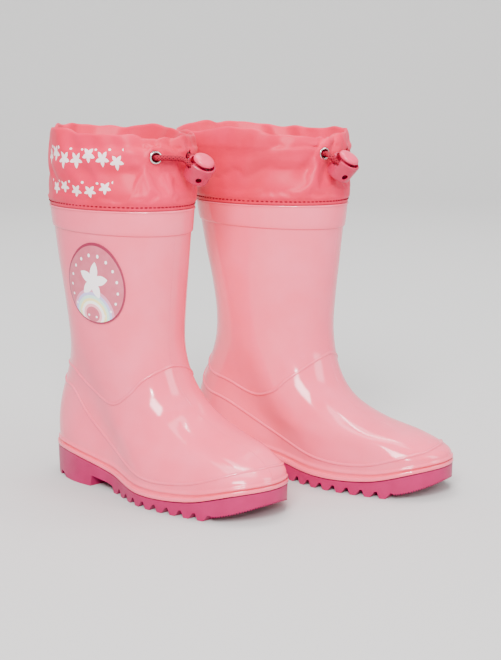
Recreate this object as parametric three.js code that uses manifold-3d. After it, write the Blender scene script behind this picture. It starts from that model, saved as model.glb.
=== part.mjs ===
// A pair of child's PVC rain boots with gathered nylon collars, drawcords and cord locks.
// Millimetres, +Z up. Toes point to -Y, the wearer's right boot stands at -X and the left boot at +X.
// Each boot is built once in its own frame (outer side at +X) and the right one is its mirror image.
import * as THREE from 'three';
import { mergeVertices } from 'three/addons/utils/BufferGeometryUtils.js';
import Module from 'manifold-3d';

const wasm = await Module();
wasm.setup();

// ---------------------------------------------------------------- driving dimensions
const FOOT_LENGTH = 196; // upper, heel to toe
const BALL_HALF = 38; // half the width across the ball of the foot
const SHAFT_TOP = 187; // height of the moulded shaft
const SHAFT_HALF_WIDTH = 40;
const COLLAR_TOP = 231;
const WALL = 2.6; // moulded wall
const GAP = 0.4; // air between neighbouring pieces
const LINING = 1.0;
const WELT = 2.4; // lip of the upper above the outsole
const BAND = 1.2; // extra thickness of the band at the shaft's top
const SEWING_LIP = 8; // thin rim of the shaft that the collar is sewn to
const CLOTH = 0.8; // collar layer, as a plain solid
const CORD = 3.4;
const EYELET_SPREAD = THREE.MathUtils.degToRad(20); // each side of the collar's front
const EYELET_HEIGHT = 220.5;
const PAIR_SPACING = 100; // between the two heels' centre lines
const PAIR_STAGGER = 54; // the left boot stands this far ahead
const SPLAY = THREE.MathUtils.degToRad(5.9); // toes turned out
const AROUND = 32; // points in each ring of a boot

// Side view of the upper as stations from the sole joint up: [forward of heel, height].
const FRONT_LINE = [
  [FOOT_LENGTH, 20], [196, 28.5], [179, 37], [155, 42.5], [138, 48], [125, 55],
  [114.5, 65.5], [107, 80], [103.5, 98], [104.5, 120], [108, 150], [112.5, SHAFT_TOP],
];
const BACK_LINE = [
  [2, 20], [0.5, 30], [0, 42], [2.5, 54], [7, 66], [11.5, 77],
  [15.5, 89], [17.5, 102], [17.5, 116], [14.5, 134], [8.5, 157], [2, SHAFT_TOP],
];
const HALF_LINE = [BALL_HALF, 38, 35.5, 33.5, 32.5, 32.5, 33.5, 35, 36.5, 38, 39.2, SHAFT_HALF_WIDTH];
const TOP_ROW = HALF_LINE.length - 1;
// Plan of the foot from heel to toe, as width over an ellipse's, and the dip of the sole joint.
const PLAN_OUTER = [1.25, 1.06, 0.81, 1.04, 1.1, 1.3];
const PLAN_INNER = [1.25, 1.04, 0.77, 1.0, 1.15, 1.4];
const JOINT_DIP = [0, 0, -7, -11.5, -9.5, 0];
const TOE_SWING = 2; // the toe bends towards the inner side
const RIDGE_SHIFT = 7; // the instep's ridge lies towards the inner side

const COLOURS = {
  pvc: 0xf0b4ba, sole: 0xd4587a, nylon: 0xfb6f80, lining: 0xf2a6b0, insole: 0xf7d5da,
  cord: 0xc2265a, toggle: 0xe0678a, button: 0xf08fa5, steel: 0xd6d6d8, badge: 0xdf7585,
};

// ---------------------------------------------------------------- curves
// Uniform Catmull-Rom through a list of numbers, at a place counted in list steps.
function along(list, place) {
  const last = list.length - 1;
  const i = Math.min(Math.floor(Math.max(place, 0)), last - 1);
  const t = THREE.MathUtils.clamp(place - i, 0, 1);
  const a = list[Math.max(i - 1, 0)];
  const b = list[i];
  const c = list[i + 1];
  const d = list[Math.min(i + 2, last)];
  const v0 = (c - a) / 2;
  const v1 = (d - b) / 2;
  return (2 * b - 2 * c + v0 + v1) * t ** 3 + (3 * c - 3 * b - 2 * v0 - v1) * t * t + v0 * t + b;
}

function column(lines, index) {
  return lines.map((point) => point[index]);
}

const FRONT_Y = column(FRONT_LINE, 0);
const FRONT_Z = column(FRONT_LINE, 1);
const BACK_Y = column(BACK_LINE, 0);
const BACK_Z = column(BACK_LINE, 1);

// A point of the upper's outer surface. Row counts stations upwards; angle runs from the heel (0)
// over the outer side to the toe (pi) and back over the inner side.
function surfacePoint(row, angle) {
  const t = (1 - Math.cos(angle)) / 2;
  const front = along(FRONT_Y, row);
  const back = along(BACK_Y, row);
  const forward = back + (front - back) * t;
  const plan = along(Math.sin(angle) >= 0 ? PLAN_OUTER : PLAN_INNER, t * 5);
  const round = THREE.MathUtils.smoothstep(row, 1, 7.5);
  const swing = TOE_SWING * Math.max((forward / FOOT_LENGTH - 0.35) / 0.65, 0) ** 2;
  const instep = THREE.MathUtils.smoothstep(row, 0.5, 3) * (1 - THREE.MathUtils.smoothstep(row, 4, 8));
  const ridge = RIDGE_SHIFT * instep * Math.max((t - 0.3) / 0.7, 0) ** 1.3;
  const side = along(HALF_LINE, row) * Math.sin(angle) * THREE.MathUtils.lerp(plan, 1, round);
  const fade = Math.max(1 - row / 6, 0) ** 1.5;
  const dip = along(JOINT_DIP, t * 5) * fade;
  const height = THREE.MathUtils.lerp(along(BACK_Z, row), along(FRONT_Z, row), t) + dip;
  return new THREE.Vector3(side - swing - ridge, FOOT_LENGTH / 2 - forward, height);
}

function surfaceNormal(row, angle) {
  const step = 0.02;
  const low = Math.max(row - step, 0);
  const high = Math.min(row + step, TOP_ROW);
  const up = surfacePoint(high, angle).sub(surfacePoint(low, angle));
  const around = surfacePoint(row, angle + step).sub(surfacePoint(row, angle - step));
  return up.cross(around).normalize();
}

// The surface moved outwards by grow and raised by lift.
function skinPoint(row, angle, grow = 0, lift = 0) {
  const point = surfacePoint(row, angle).addScaledVector(surfaceNormal(row, angle), grow);
  point.z += lift;
  return point;
}

function ringAngles() {
  return Array.from({ length: AROUND }, (_, i) => (i / AROUND) * 2 * Math.PI);
}

function ring(row, grow = 0, lift = 0) {
  return ringAngles().map((angle) => skinPoint(row, angle, grow, lift));
}

// ---------------------------------------------------------------- closed meshes from rings
function meshFrom(vertices, faces) {
  const geometry = new THREE.BufferGeometry();
  const numbers = vertices.flatMap((v) => [v.x, v.y, v.z]);
  geometry.setAttribute('position', new THREE.Float32BufferAttribute(numbers, 3));
  geometry.setIndex(faces.flat());
  return geometry;
}

function wallFaces(rings, closed) {
  const faces = [];
  const count = rings[0].length;
  const spans = closed ? rings.length : rings.length - 1;
  for (let r = 0; r < spans; r += 1) {
    for (let i = 0; i < count; i += 1) {
      const j = (i + 1) % count;
      const low = r * count;
      const high = ((r + 1) % rings.length) * count;
      faces.push([low + i, high + i, high + j], [low + i, high + j, low + j]);
    }
  }
  return faces;
}

// Strips straight across a ring, from the outer side to the inner side.
function lidFaces(start, count, facesUp) {
  const faces = [];
  for (let i = 0; i < count / 2; i += 1) {
    const a = start + i;
    const b = start + i + 1;
    const c = start + ((count - i - 1) % count);
    const d = start + ((count - i) % count);
    if (i + 1 !== count / 2) faces.push(facesUp ? [a, c, b] : [a, b, c]);
    if (i !== 0) faces.push(facesUp ? [a, d, c] : [a, c, d]);
  }
  return faces;
}

// Rings joined into a wall, with the first and last ring closed by lids.
function lofted(rings) {
  const count = rings[0].length;
  const faces = wallFaces(rings, false);
  faces.push(...lidFaces(0, count, false), ...lidFaces((rings.length - 1) * count, count, true));
  return meshFrom(rings.flat(), faces);
}

// Rings joined into a sleeve whose last ring meets the first.
function sleeve(rings) {
  return meshFrom(rings.flat(), wallFaces(rings, true));
}

function lathe(profile, sides) {
  const points = profile.map(([r, h]) => new THREE.Vector2(r, h));
  return new THREE.LatheGeometry(points, sides).rotateX(Math.PI / 2);
}

// ---------------------------------------------------------------- solids
function toSolid(geometry) {
  const bare = geometry.clone();
  bare.deleteAttribute('normal');
  bare.deleteAttribute('uv');
  const merged = mergeVertices(bare, 1e-4);
  return new wasm.Manifold(new wasm.Mesh({
    numProp: 3,
    vertProperties: new Float32Array(merged.attributes.position.array),
    triVerts: new Uint32Array(merged.index.array),
  }));
}

function toGeometry(solid) {
  const mesh = solid.getMesh();
  const geometry = new THREE.BufferGeometry();
  geometry.setAttribute('position', new THREE.Float32BufferAttribute(mesh.vertProperties, 3));
  geometry.setIndex(Array.from(mesh.triVerts));
  return geometry;
}

function subtractAll(geometry, cutters) {
  const cut = cutters.reduce((solid, cutter) => solid.subtract(toSolid(cutter)), toSolid(geometry));
  return toGeometry(cut);
}

// A cylinder of the given radius from one point to another.
function rod(from, to, radius, sides = 12) {
  const direction = to.clone().sub(from);
  const geometry = new THREE.CylinderGeometry(radius, radius, direction.length(), sides);
  geometry.rotateX(Math.PI / 2);
  const middle = from.clone().add(to).multiplyScalar(0.5);
  return turned(geometry, direction.normalize()).translate(...middle.toArray());
}

// Turns +Z to a direction.
function turned(geometry, direction) {
  const turn = new THREE.Quaternion().setFromUnitVectors(new THREE.Vector3(0, 0, 1), direction);
  return geometry.applyQuaternion(turn);
}

function tube(points, diameter, steps, sides = 8) {
  const section = new THREE.Shape();
  for (let i = 0; i < sides; i += 1) {
    const a = (i / sides) * 2 * Math.PI;
    const x = (Math.cos(a) * diameter) / 2;
    const y = (Math.sin(a) * diameter) / 2;
    if (i === 0) section.moveTo(x, y);
    else section.lineTo(x, y);
  }
  const path = new THREE.CatmullRomCurve3(points, false, 'centripetal');
  return new THREE.ExtrudeGeometry(section, { steps, bevelEnabled: false, extrudePath: path });
}

// ---------------------------------------------------------------- upper, lining and insole
const FLOOR_ROW = 0.35;
const INSIDE_ROWS = [10, 8.5, 7, 6, 5, 4, 3, 2, 1];

function upper() {
  const rings = [ring(0, WELT), ring(0, WELT, 2.4), ring(0.4, 0.3), ring(1)];
  for (let row = 2; row <= 10; row += 1) rings.push(ring(row));
  rings.push(ring(10.5), ring(10.5, BAND, 0.8), ring(TOP_ROW, BAND), ring(TOP_ROW, -0.2));
  rings.push(ring(TOP_ROW, -0.2, SEWING_LIP), ring(TOP_ROW, -1.6, SEWING_LIP), ring(TOP_ROW, -1.6));
  rings.push(ring(TOP_ROW, -WALL, -1));
  INSIDE_ROWS.forEach((row) => rings.push(ring(row, -WALL)));
  rings.push(ring(FLOOR_ROW, -WALL));
  return lofted(rings);
}

function lining() {
  const outer = WALL + 2.5 * GAP;
  const inner = outer + LINING;
  const rings = [ring(0.5, -outer)];
  INSIDE_ROWS.toReversed().forEach((row) => rings.push(ring(row, -outer)));
  rings.push(ring(10.9, -outer), ring(10.9, -inner));
  INSIDE_ROWS.forEach((row) => rings.push(ring(row, -inner)));
  rings.push(ring(0.63, -inner));
  return lofted(rings);
}

function insole() {
  const inset = WALL + LINING + 4 * GAP;
  // The edge slopes in, so that it clears the toe's low ceiling.
  return lofted([ring(0.86, -inset - 1, 0.5), ring(0.86, -inset - 6, 2.4)]);
}

// ---------------------------------------------------------------- outsole
const HEEL_FRONT = 60;
const LUG_COUNT = 9;
const LUG_START = 83;
const LUG_PITCH = 10.2;
const LUG_DEPTH = 4.4;
const SHANK_HEIGHT = 7.5; // underside between the heel block and the first lug
const TIP_HEIGHT = 11; // underside of the toe tip

// Underside in side view, as [forward of heel, height], heel to toe.
function underside() {
  const line = [[-8, 3], [1, 0], [9, 0], [10.5, 3.6], [14, 3.6], [18, 0], [23, 0], [24.5, 3.2]];
  line.push([28, 3.2], [32, 0]);
  line.push([HEEL_FRONT, 0], [HEEL_FRONT + 1.5, SHANK_HEIGHT], [LUG_START - 6, SHANK_HEIGHT - 2]);
  for (let i = 0; i < LUG_COUNT; i += 1) {
    const at = LUG_START + i * LUG_PITCH;
    line.push([at - 1, LUG_DEPTH], [at + 0.6, 0], [at + 4.2, 0], [at + LUG_PITCH - 2.6, LUG_DEPTH]);
  }
  const toeStart = LUG_START + LUG_COUNT * LUG_PITCH;
  for (let i = 0; i <= 5; i += 1) {
    const t = i / 5;
    line.push([toeStart + t * (FOOT_LENGTH + 6 - toeStart), 1 + (TIP_HEIGHT - 1) * t ** 1.5]);
  }
  return line;
}

function outsole() {
  const flat = ring(0, WELT - 1).map((p) => new THREE.Vector3(p.x, p.y, -2));
  const blank = toSolid(lofted([flat, ring(0, WELT - 0.5, -1.4 * GAP)]));
  const line = underside();
  const side = new THREE.Shape();
  side.moveTo(-10, 40);
  line.forEach(([forward, height]) => side.lineTo(forward, height));
  side.lineTo(FOOT_LENGTH + 10, 40);
  // The side view is drawn with forward along X, then turned so that forward runs to -Y.
  const slab = new THREE.ExtrudeGeometry(side, { depth: 110, bevelEnabled: false });
  slab.translate(-FOOT_LENGTH / 2, 0, -55);
  slab.rotateX(Math.PI / 2).rotateZ(-Math.PI / 2);
  return toGeometry(blank.intersect(toSolid(slab)));
}

// ---------------------------------------------------------------- collar, eyelets and drawcord
// The collar's section: nylon folded over at the top, one layer outside the sewing lip and one inside.
// [outwards of the shaft's top ring, above it]
const COLLAR_HEIGHT = COLLAR_TOP - SHAFT_TOP;
const COLLAR_OUTSIDE = [
  [0.95, 0.4], [2.0, 10], [3.4, 23], [3.4, 38], [2.2, 42.5], [-0.4, COLLAR_HEIGHT],
  [-3.2, 42.2], [-4.8, 35], [-4.3, 23], [-2.9, 9.5], [-2.9, 2],
];
const COLLAR_INSIDE = [
  [-2.1, 2], [-2.1, 9.5], [-3.5, 23], [-4.0, 34.6], [-2.7, 41.4], [-0.4, COLLAR_HEIGHT - CLOTH],
  [1.6, 41.6], [2.6, 37.6], [2.6, 23], [1.2, 10], [0.2, 0.4],
];

const EYELET_HOLE = 3.6;
const FRONT_PULL = 6.5; // the drawn cord pulls the collar's front in by this much

function collarPoint(angle, grow, lift) {
  const pull = Math.max(-Math.cos(angle), 0) ** 2 * THREE.MathUtils.smoothstep(lift, 9, 26);
  return skinPoint(TOP_ROW, angle, grow - FRONT_PULL * pull, lift);
}

// A frame on the collar's front: angle is measured from straight ahead, positive to the outer side.
function collarFrame(angle, grow, height) {
  const turn = Math.PI - angle;
  const lift = height - SHAFT_TOP;
  const tangent = collarPoint(turn + 0.03, grow, lift).sub(collarPoint(turn - 0.03, grow, lift));
  const outward = new THREE.Vector3(-tangent.y, tangent.x, 0).normalize();
  return { position: collarPoint(turn, grow, lift), outward };
}

function eyeletFrame(which) {
  return collarFrame(which * EYELET_SPREAD, COLLAR_OUTSIDE[2][0], EYELET_HEIGHT);
}

function collar() {
  const rings = [...COLLAR_OUTSIDE, ...COLLAR_INSIDE].map(([grow, lift]) => (
    ringAngles().map((angle) => collarPoint(angle, grow, lift))
  ));
  const holes = [1, -1].map((which) => {
    const { position, outward } = eyeletFrame(which);
    const inside = position.clone().addScaledVector(outward, -3);
    return rod(inside, position.clone().addScaledVector(outward, 3), EYELET_HOLE);
  });
  return subtractAll(sleeve(rings), holes);
}

function placedOnCollar(geometry, which) {
  const { position, outward } = eyeletFrame(which);
  return turned(geometry, outward).translate(position.x, position.y, position.z);
}

function eyelet(which) {
  const profile = [
    [2.8, -2], [3.15, -2], [3.15, 0.45], [3.7, 0.45], [4, 0.75], [3.6, 1.1], [3.05, 1.15], [2.8, 0.8],
  ];
  return placedOnCollar(lathe([...profile, profile[0]], 14), which);
}

function washer(which) {
  const profile = [[3.6, -2], [4.3, -2], [4.3, -1.55], [3.6, -1.55]];
  return placedOnCollar(lathe([...profile, profile[0]], 14), which);
}

// ---------------------------------------------------------------- cord lock
const CUP_HEIGHT = 13.4;
const CUP_RADIUS = 9.2; // at the rim
const CUP_FOOT_RADIUS = 8.2;
const CUP_WALL = 1.1;
const CORD_LEVEL = 10.6; // of the cord's turn round the button's waist, above the cup's foot
const LEAN = THREE.MathUtils.degToRad(36); // the lock's axis leans forward of upright
const LOCK_FORWARD = 120.5; // forward of the heel, at the cup's middle
const LOCK_SIDE = -12; // towards the inner side
const LOCK_HEIGHT = 211.5;

// The cord lock is drawn upright with its front at -Y, its foot at z = 0.
function lockPlacement() {
  const turn = new THREE.Quaternion().setFromAxisAngle(new THREE.Vector3(1, 0, 0), LEAN);
  const middle = new THREE.Vector3(0, 0, CUP_HEIGHT / 2).applyQuaternion(turn);
  const at = new THREE.Vector3(LOCK_SIDE, FOOT_LENGTH / 2 - LOCK_FORWARD, LOCK_HEIGHT).sub(middle);
  return new THREE.Matrix4().compose(at, turn, new THREE.Vector3(1, 1, 1));
}

const LOCK = lockPlacement();

function lockPoint(azimuth, radius, height) {
  const a = THREE.MathUtils.degToRad(azimuth);
  return new THREE.Vector3(Math.sin(a) * radius, -Math.cos(a) * radius, height);
}

function lockBody() {
  const wall = [
    [0, 0], [5.5, 0], [CUP_FOOT_RADIUS - 0.5, 0.7], [CUP_FOOT_RADIUS, 2.2], [CUP_RADIUS, CUP_HEIGHT - 2],
    [CUP_RADIUS, CUP_HEIGHT - 0.4], [CUP_RADIUS - 0.4, CUP_HEIGHT], [CUP_RADIUS - CUP_WALL, CUP_HEIGHT],
    [CUP_RADIUS - CUP_WALL, CUP_HEIGHT - 2], [CUP_FOOT_RADIUS - CUP_WALL + 0.4, 2], [0, 2],
  ];
  const cup = lathe(wall, 20);
  // A notch on each side, open to the rim, lets a strand of the cord in.
  const notches = [1, -1].flatMap((side) => [0, 2.4, 4.8].map((rise) => rod(
    lockPoint(side * 98, 6.5, CORD_LEVEL + rise),
    lockPoint(side * 122, 12.2, CORD_LEVEL + rise),
    3,
  )));
  const windows = [32, -32].map((azimuth) => rod(lockPoint(azimuth, 5, 5), lockPoint(azimuth, 11, 5), 2));
  return subtractAll(cup, [...notches, ...windows]).applyMatrix4(LOCK);
}

function lockButton() {
  const profile = [
    [0, 4.4], [2.0, 4.4], [2.0, 6.3], [7.2, 6.3], [7.2, 8.0], [3.7, 8.4], [3.7, 13.8],
    [6.4, 14.2], [7.0, 15.0], [6.8, 16.4], [5.4, 17.4], [0, 17.9],
  ];
  return lathe(profile, 20).applyMatrix4(LOCK);
}

function lockSpring() {
  const turns = 3;
  const points = [];
  for (let i = 0; i <= turns * 8; i += 1) {
    const a = (i / 8) * 2 * Math.PI;
    points.push(new THREE.Vector3(3.4 * Math.cos(a), 3.4 * Math.sin(a), 2.75 + (2.8 * i) / (turns * 8)));
  }
  return tube(points, 0.7, turns * 8, 6).applyMatrix4(LOCK);
}

// The drawcord lies in the collar's fold, comes out of both eyelets and turns round the button's waist.
const HEM_STEPS = 8;
const HEM_START = THREE.MathUtils.degToRad(178.5);
const HEM_END = THREE.MathUtils.degToRad(34);

// From the back of the fold to an eyelet, on one side of the collar.
function cordInFold(which) {
  const points = [];
  for (let i = 0; i <= HEM_STEPS; i += 1) {
    const angle = THREE.MathUtils.lerp(HEM_START, HEM_END, i / HEM_STEPS);
    points.push(collarFrame(which * angle, -1, EYELET_HEIGHT).position);
  }
  const { position, outward } = eyeletFrame(which);
  const sideways = new THREE.Vector3(-outward.y, outward.x, 0).multiplyScalar(which);
  for (const [beside, out] of [[5, -4.4], [2, -4.2], [0.5, -2.8], [0, -0.8], [0, 1.2], [-0.3, 2.9]]) {
    points.push(position.clone().addScaledVector(sideways, beside).addScaledVector(outward, out));
  }
  return points;
}

function drawcord() {
  // Round the button's waist, from the outer side's opening to the inner side's.
  const turn = [[127, 12.2, 0.4], [118, 9, 0.1], [98, 6.5, 0], [64, 5.9, 0], [32, 5.9, 0], [0, 5.9, 0]];
  const back = turn.slice(0, -1).reverse().map(([azimuth, radius, rise]) => [-azimuth, radius, rise]);
  const inLock = [...turn, ...back].map(
    ([azimuth, radius, rise]) => lockPoint(azimuth, radius, CORD_LEVEL + rise).applyMatrix4(LOCK),
  );
  return tube([...cordInFold(1), ...inLock, ...cordInFold(-1).reverse()], CORD, 72);
}

// ---------------------------------------------------------------- badge
const BADGE_TURN = THREE.MathUtils.degToRad(107);
const BADGE_HALF_TURN = THREE.MathUtils.degToRad(29);
const BADGE_ROW = 9.42;
const BADGE_HALF_ROWS = 0.95;
const BADGE_TILT = THREE.MathUtils.degToRad(2);

function badge() {
  const sides = 24;
  const shells = 3;
  const vertices = [];
  const faces = [];
  for (const grow of [0.65, 1.15]) {
    vertices.push(skinPoint(BADGE_ROW, BADGE_TURN, grow));
    for (let r = 1; r <= shells; r += 1) {
      for (let i = 0; i < sides; i += 1) {
        const a = (i / sides) * 2 * Math.PI;
        const rise = Math.sin(a) * (r / shells);
        const turn = BADGE_TURN + BADGE_HALF_TURN * Math.cos(a) * (r / shells) + BADGE_TILT * rise;
        vertices.push(skinPoint(BADGE_ROW + BADGE_HALF_ROWS * rise, turn, grow));
      }
    }
  }
  const layer = vertices.length / 2;
  const at = (side, r, i) => side * layer + 1 + (r - 1) * sides + (i % sides);
  for (let i = 0; i < sides; i += 1) {
    faces.push([layer, at(1, 1, i + 1), at(1, 1, i)], [0, at(0, 1, i), at(0, 1, i + 1)]);
    for (let r = 1; r < shells; r += 1) {
      faces.push([at(1, r, i), at(1, r, i + 1), at(1, r + 1, i + 1)]);
      faces.push([at(1, r, i), at(1, r + 1, i + 1), at(1, r + 1, i)]);
      faces.push([at(0, r, i), at(0, r + 1, i + 1), at(0, r, i + 1)]);
      faces.push([at(0, r, i), at(0, r + 1, i), at(0, r + 1, i + 1)]);
    }
    faces.push([at(1, shells, i), at(1, shells, i + 1), at(0, shells, i + 1)]);
    faces.push([at(1, shells, i), at(0, shells, i + 1), at(0, shells, i)]);
  }
  return meshFrom(vertices, faces);
}

// ---------------------------------------------------------------- assembly
function material(color, roughness, metalness = 0) {
  return () => new THREE.MeshStandardMaterial({ color, roughness, metalness });
}

const PIECES = {
  outsole: [outsole(), material(COLOURS.sole, 0.45)],
  upper: [upper(), material(COLOURS.pvc, 0.18)],
  lining: [lining(), material(COLOURS.lining, 0.95)],
  insole: [insole(), material(COLOURS.insole, 0.9)],
  collar: [collar(), material(COLOURS.nylon, 0.6)],
  eyelet_a: [eyelet(1), material(COLOURS.steel, 0.25, 1)],
  eyelet_b: [eyelet(-1), material(COLOURS.steel, 0.25, 1)],
  washer_a: [washer(1), material(COLOURS.steel, 0.35, 1)],
  washer_b: [washer(-1), material(COLOURS.steel, 0.35, 1)],
  drawcord: [drawcord(), material(COLOURS.cord, 0.85)],
  lock_body: [lockBody(), material(COLOURS.toggle, 0.35)],
  lock_button: [lockButton(), material(COLOURS.button, 0.35)],
  lock_spring: [lockSpring(), material(COLOURS.steel, 0.3, 1)],
  badge: [badge(), material(COLOURS.badge, 0.25)],
};

function mirrored(geometry) {
  const copy = geometry.clone().scale(-1, 1, 1);
  const plain = Uint32Array.from({ length: copy.attributes.position.count }, (_, i) => i);
  const order = copy.index ?? new THREE.BufferAttribute(plain, 1);
  const flipped = Array.from(order.array);
  for (let i = 0; i < flipped.length; i += 3) {
    [flipped[i + 1], flipped[i + 2]] = [flipped[i + 2], flipped[i + 1]];
  }
  copy.setIndex(flipped);
  return copy;
}

function boot(name, side) {
  const frame = new THREE.Group();
  for (const [piece, [geometry, look]] of Object.entries(PIECES)) {
    const mesh = new THREE.Mesh(side > 0 ? geometry : mirrored(geometry), look());
    mesh.name = `${name}_${piece}`;
    frame.add(mesh);
  }
  frame.rotation.z = side * SPLAY;
  frame.position.set((side * PAIR_SPACING) / 2, (-side * PAIR_STAGGER) / 2, 0);
  return frame;
}

const group = new THREE.Group();
group.add(boot('right', -1), boot('left', 1));

// The origin is the middle of the pair's footprint.
const reach = new THREE.Box3().setFromObject(group, true);
group.children.forEach((child) => {
  child.position.y -= (reach.min.y + reach.max.y) / 2;
  child.position.x -= (reach.min.x + reach.max.x) / 2;
});

export default group;
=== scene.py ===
import math

import bmesh
import bpy
from mathutils import Matrix, Vector


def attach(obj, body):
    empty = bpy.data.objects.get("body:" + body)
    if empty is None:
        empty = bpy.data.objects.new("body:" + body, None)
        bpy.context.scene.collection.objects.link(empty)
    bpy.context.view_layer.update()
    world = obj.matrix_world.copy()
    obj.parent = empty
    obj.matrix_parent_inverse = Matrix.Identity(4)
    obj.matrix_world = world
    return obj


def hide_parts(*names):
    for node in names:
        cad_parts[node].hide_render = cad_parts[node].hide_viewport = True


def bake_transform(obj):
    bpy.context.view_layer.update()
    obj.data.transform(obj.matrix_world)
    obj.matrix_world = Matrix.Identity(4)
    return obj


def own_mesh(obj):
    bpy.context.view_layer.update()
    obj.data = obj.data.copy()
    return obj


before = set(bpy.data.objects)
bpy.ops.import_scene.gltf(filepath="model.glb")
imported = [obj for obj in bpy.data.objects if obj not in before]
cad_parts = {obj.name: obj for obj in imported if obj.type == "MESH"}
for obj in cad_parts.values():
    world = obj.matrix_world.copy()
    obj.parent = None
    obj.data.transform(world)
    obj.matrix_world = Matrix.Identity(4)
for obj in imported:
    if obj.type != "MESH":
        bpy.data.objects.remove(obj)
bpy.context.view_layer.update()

# A pair of child's PVC rain boots: glossy moulded uppers, lugged soles, gathered nylon collars with a
# drawcord and a spring cord lock. A boot is drawn in its own frame, in millimetres, as the left one:
# the outer side is +X, the toe points to -Y. The right boot is the mirror image.
SCENE = bpy.context.scene
MM = 0.001

# ---------------------------------------------------------------- driving dimensions, in millimetres
FOOT_LENGTH = 196
SHAFT_TOP = 187
COLLAR_TOP = 231
WALL = 2.6
GAP = 0.4
LINING = 1.0
WELT = 2.4
BAND = 1.2
SEWING_LIP = 8
CORD = 3.4
CLOTH = 0.35  # coated nylon
EYELET_SPREAD = math.radians(20)
EYELET_HEIGHT = 220.5
CORD_LIFT = EYELET_HEIGHT - SHAFT_TOP  # of the cord in the collar's fold, above the shaft
EYELET_GROW = 3.4  # of the eyelets' seats, outwards of the shaft's top
FRONT_PULL = 6.5
SPLAY = math.radians(5.9)
PLACES = {"left": (50, -26.3626), "right": (-50, 27.6374)}  # of each boot's frame
SIDES = {"left": 1, "right": -1}

# Stations of the moulded upper from the sole joint up.
FRONT_Y = [FOOT_LENGTH, 196, 179, 155, 138, 125, 114.5, 107, 103.5, 104.5, 108, 112.5]
FRONT_Z = [20, 28.5, 37, 42.5, 48, 55, 65.5, 80, 98, 120, 150, SHAFT_TOP]
BACK_Y = [2, 0.5, 0, 2.5, 7, 11.5, 15.5, 17.5, 17.5, 14.5, 8.5, 2]
BACK_Z = [20, 30, 42, 54, 66, 77, 89, 102, 116, 134, 157, SHAFT_TOP]
HALF = [38, 38, 35.5, 33.5, 32.5, 32.5, 33.5, 35, 36.5, 38, 39.2, 40]
PLAN_OUTER = [1.25, 1.06, 0.81, 1.04, 1.1, 1.3]
PLAN_INNER = [1.25, 1.04, 0.77, 1.0, 1.15, 1.4]
JOINT_DIP = [0, 0, -7, -11.5, -9.5, 0]
TOP_ROW = len(HALF) - 1
TOE_SWING = 2
RIDGE_SHIFT = 7


# ---------------------------------------------------------------- the boot's surface
def along(values, place):
    """Uniform Catmull-Rom through a list of numbers, at a place counted in list steps."""
    last = len(values) - 1
    i = min(math.floor(max(place, 0)), last - 1)
    t = min(max(place - i, 0), 1)
    a, b, c, d = values[max(i - 1, 0)], values[i], values[i + 1], values[min(i + 2, last)]
    v0 = (c - a) / 2
    v1 = (d - b) / 2
    return (2 * b - 2 * c + v0 + v1) * t**3 + (3 * c - 3 * b - 2 * v0 - v1) * t * t + v0 * t + b


def smoothstep(x, low, high):
    t = min(max((x - low) / (high - low), 0), 1)
    return t * t * (3 - 2 * t)


def surface_point(row, angle):
    """A point of the upper. The angle runs from the heel (0) over the outer side to the toe (pi)."""
    t = (1 - math.cos(angle)) / 2
    back = along(BACK_Y, row)
    forward = back + (along(FRONT_Y, row) - back) * t
    plan = along(PLAN_OUTER if math.sin(angle) >= 0 else PLAN_INNER, t * 5)
    rounding = smoothstep(row, 1, 7.5)
    swing = TOE_SWING * max((forward / FOOT_LENGTH - 0.35) / 0.65, 0) ** 2
    instep = smoothstep(row, 0.5, 3) * (1 - smoothstep(row, 4, 8))
    ridge = RIDGE_SHIFT * instep * max((t - 0.3) / 0.7, 0) ** 1.3
    side = along(HALF, row) * math.sin(angle) * (plan + (1 - plan) * rounding)
    dip = along(JOINT_DIP, t * 5) * max(1 - row / 6, 0) ** 1.5
    low, high = along(BACK_Z, row), along(FRONT_Z, row)
    return Vector((side - swing - ridge, FOOT_LENGTH / 2 - forward, low + (high - low) * t + dip))


def skin_point(row, angle, grow, lift=0.0):
    """The surface moved outwards by grow and raised by lift."""
    step = 0.02
    up = surface_point(min(row + step, TOP_ROW), angle) - surface_point(max(row - step, 0), angle)
    around = surface_point(row, angle + step) - surface_point(row, angle - step)
    normal = up.cross(around).normalized()
    return surface_point(row, angle) + normal * grow + Vector((0, 0, lift))


def boot_matrix(boot):
    """From a boot's frame in millimetres to the row's frame in metres."""
    side = SIDES[boot]
    x, y = PLACES[boot]
    turn = Matrix.Rotation(side * SPLAY, 4, "Z")
    return Matrix.Translation((x * MM, y * MM, 0)) @ turn @ Matrix.Diagonal((side * MM, MM, MM, 1))


# ---------------------------------------------------------------- making pieces
def add_piece(bm, name, boot, material, body="boot", sharp=None, replaces=()):
    """Puts a shape that is drawn in the boot's frame in place and hands it over."""
    bm.transform(boot_matrix(boot))
    if SIDES[boot] < 0:
        bmesh.ops.reverse_faces(bm, faces=bm.faces)
    mesh = bpy.data.meshes.new(f"{boot}_{name}")
    bm.to_mesh(mesh)
    bm.free()
    mesh.shade_smooth()
    if sharp:
        mesh.set_sharp_from_angle(angle=math.radians(sharp))
    piece = bpy.data.objects.new(mesh.name, mesh)
    SCENE.collection.objects.link(piece)
    mesh.materials.append(material)
    if body:
        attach(piece, f"{boot}_{body}")
    if replaces:
        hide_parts(*[f"{boot}_{node}" for node in replaces])
    return piece


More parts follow.
